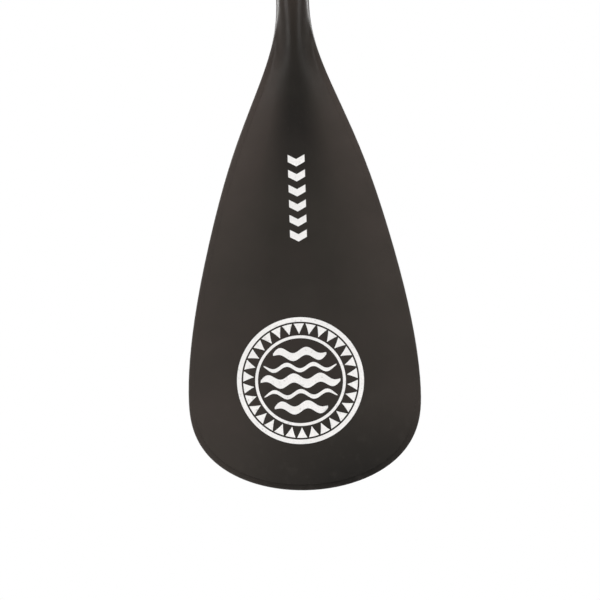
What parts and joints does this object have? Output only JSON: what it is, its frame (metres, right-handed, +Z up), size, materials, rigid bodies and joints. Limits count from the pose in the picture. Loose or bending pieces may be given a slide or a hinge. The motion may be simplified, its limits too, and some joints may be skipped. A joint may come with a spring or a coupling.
{
  "type": "single blade paddle",
  "caption": "Adjustable stand-up paddle with a wide raked blade, pull-apart shaft with a snap button, lever clamp and T grip.",
  "frame": {"origin": "on the shaft's axis, at the seam between the blade's neck and the lower shaft", "axes": "+Z up along the shaft to the grip, blade below; -Y is the blade's power face; X is across the blade and along the grip"},
  "size_m": [0.205, 0.0917, 1.635],
  "materials": {
    "blade_laminate": "satin",
    "shaft_laminate": "gloss",
    "upper_laminate": "satin",
    "ferrule_laminate": "satin",
    "edge_plastic": "satin",
    "core_foam": "matte",
    "nylon": "matte",
    "clamp_plastic": "satin",
    "lever_plastic": "satin",
    "grip_plastic": "satin",
    "grip_rubber": "matte",
    "spring_steel": "satin",
    "bolt_steel": "satin",
    "button_steel": "polished",
    "barrel_brass": "satin"
  },
  "bodies": {
    "blade_section": {"blade_front_skin": "blade_laminate", "blade_back_skin": "blade_laminate", "blade_core": "core_foam", "blade_edge_band": "edge_plastic", "neck_insert": "nylon", "lower_shaft": "shaft_laminate", "lower_shaft_plug": "core_foam"},
    "middle_section": {"middle_shaft": "shaft_laminate", "joint_ferrule": "ferrule_laminate", "ferrule_stop_ring": "edge_plastic", "ferrule_end_plug": "nylon", "snap_spring": "spring_steel", "clamp_collar": "clamp_plastic", "clamp_bush": "nylon", "clamp_bolt": "bolt_steel", "clamp_washer": "bolt_steel", "clamp_saddle": "bolt_steel", "clamp_barrel": "barrel_brass"},
    "release_button": {"snap_button": "button_steel"},
    "lever": {"clamp_lever": "lever_plastic"},
    "upper_section": {"upper_shaft": "upper_laminate", "upper_end_plug": "nylon", "grip_body": "grip_plastic", "grip_pad": "grip_rubber"}
  },
  "joints": [
    {"name": "section_pull", "type": "slide", "parent": "blade_section", "child": "middle_section", "axis": [0, 0, 1], "range_m": [0, 0.16], "deforming": ["snap_button", "snap_spring"]},
    {"name": "button_press", "type": "slide", "parent": "middle_section", "child": "release_button", "axis": [0, 1, 0], "range_m": [0, 0.0042], "stiffness_N_per_m": 1500, "springref_m": -0.002, "deforming": ["snap_spring"]},
    {"name": "lever_open", "type": "hinge", "parent": "middle_section", "child": "lever", "pos_m": [0.026, -0.01812, 1.086], "axis": [0, 0, 1], "range_deg": [0, 160]},
    {"name": "length_adjust", "type": "slide", "parent": "middle_section", "child": "upper_section", "axis": [0, 0, 1], "range_m": [0, 0.5]}
  ]
}
